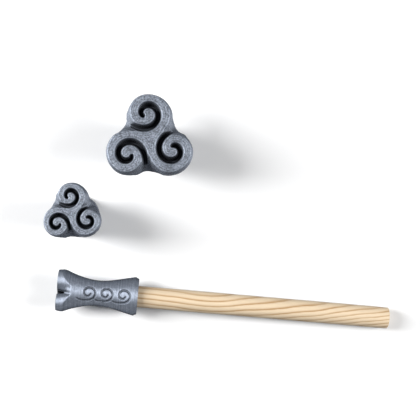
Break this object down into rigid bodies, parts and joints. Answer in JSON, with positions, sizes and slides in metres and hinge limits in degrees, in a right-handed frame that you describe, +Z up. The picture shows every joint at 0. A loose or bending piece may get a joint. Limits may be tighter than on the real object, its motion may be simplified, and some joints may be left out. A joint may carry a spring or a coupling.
{
  "type": "clay stamp",
  "caption": "Clay stamp set: triple-spiral heads with hourglass bodies and back sockets for a push-in wooden dowel handle, one head plugged on and lying down.",
  "frame": {"origin": "under the middle of the whole set's box, on the surface that it stands on", "axes": "+X along the lying handle, seen from above, from the small head towards the handle's free end; +Y towards the large head; +Z up"},
  "size_m": [0.1622, 0.1012, 0.0372],
  "materials": {
    "printed_plastic": "satin silver-grey 3D print with fine layer lines",
    "dowel_wood": "bare sanded softwood with brown growth rings"
  },
  "bodies": {
    "handle": {"handle": "dowel_wood"},
    "small_head": {"small_head": "printed_plastic"},
    "medium_head": {"medium_head": "printed_plastic"},
    "large_head": {"large_head": "printed_plastic"}
  },
  "joints": [
    {"name": "small_head_pull", "type": "slide", "parent": "handle", "child": "small_head", "axis": [-0.9994, 0, 0.0353], "range_m": [0, 0.018]},
    {"name": "medium_head_lift", "type": "slide", "parent": "handle", "child": "medium_head", "axis": [0, 0, 1], "range_m": [0, 0.06]},
    {"name": "large_head_lift", "type": "slide", "parent": "handle", "child": "large_head", "axis": [0, 0, 1], "range_m": [0, 0.06]}
  ]
}
